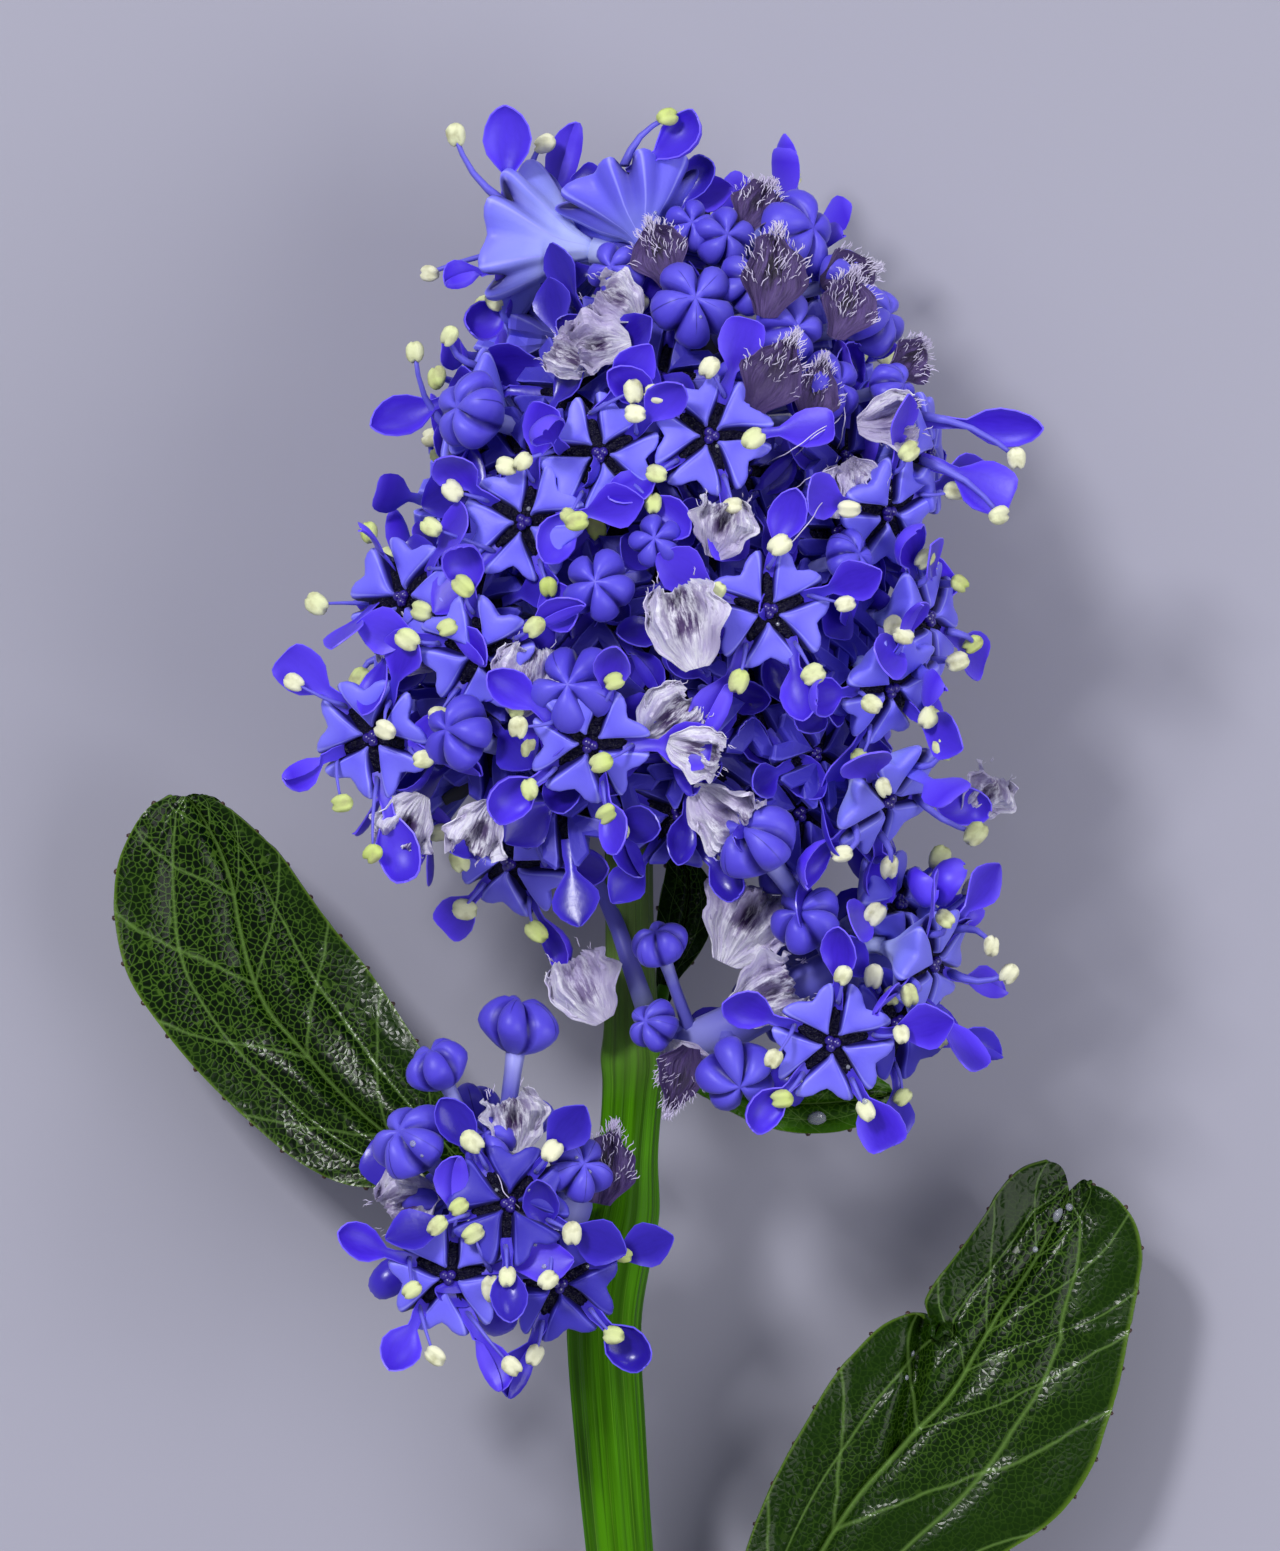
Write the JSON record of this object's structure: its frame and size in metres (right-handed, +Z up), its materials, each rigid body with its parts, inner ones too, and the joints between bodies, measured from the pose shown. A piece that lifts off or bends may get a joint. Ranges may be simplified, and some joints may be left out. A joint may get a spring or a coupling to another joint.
{
  "type": "california lilac flower cluster",
  "caption": "Cut sprig of california lilac with a cone of small blue star flowers, side clusters and glossy leaves, lying down.",
  "frame": {"origin": "the flat spot under the head, where its lowest bud rests on the surface", "axes": "+Y along the sprig towards the tip of its head, +Z up from the surface, +X to the right of the head seen from above"},
  "size_m": [0.0254, 0.0433, 0.0144],
  "materials": {
    "stem": "soft green stem, satin",
    "blossom": "matte violet blue petals",
    "leaf": "glossy, leathery"
  },
  "bodies": {
    "root": {"stem": "stem", "flower_head": "blossom", "flower_cluster_right": "blossom", "flower_cluster_left": "blossom", "leaf_left": "leaf", "leaf_lower_right": "leaf", "leaf_under_cluster": "leaf", "leaf_behind_stem": "leaf"}
  },
  "joints": []
}
